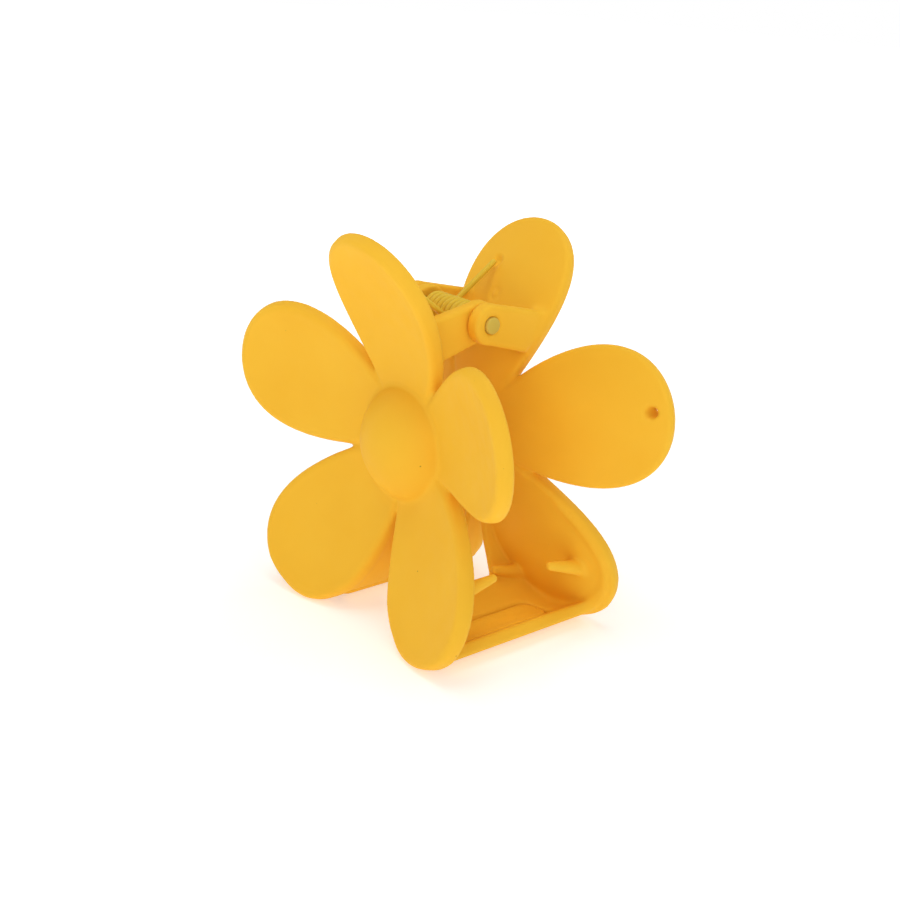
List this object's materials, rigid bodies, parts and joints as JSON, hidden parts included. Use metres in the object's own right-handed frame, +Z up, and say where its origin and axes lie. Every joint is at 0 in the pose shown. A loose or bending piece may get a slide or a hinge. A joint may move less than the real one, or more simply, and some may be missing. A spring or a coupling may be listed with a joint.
{
  "type": "hair claw clip",
  "caption": "Flower-shaped claw hair clip: two five-petal jaws on a sprung pin hinge, with interlocking fingers and pegs that hold the hair.",
  "frame": {"origin": "centre of the bounding box at the surface that the closed clip stands on", "axes": "+X along the hinge pin, +Y from the front flower to the back flower, +Z up"},
  "size_m": [0.0702, 0.0418, 0.0675],
  "materials": {
    "jaw_plastic": "soft matte coating, warm yellow",
    "pin_metal": "matte yellow coating over steel",
    "spring_wire": "matte yellow coating over steel wire"
  },
  "bodies": {
    "back": {"back_jaw": "jaw_plastic", "hinge_pin": "pin_metal", "torsion_spring": "spring_wire"},
    "front": {"front_jaw": "jaw_plastic"}
  },
  "joints": [
    {"name": "jaw_hinge", "type": "hinge", "parent": "back", "child": "front", "pos_m": [0, 0, 0.05311], "axis": [-1, 0, 0], "range_deg": [0, 104], "stiffness_Nm_per_rad": 0.12, "springref_deg": -68.75, "deforming": ["torsion_spring"]}
  ]
}
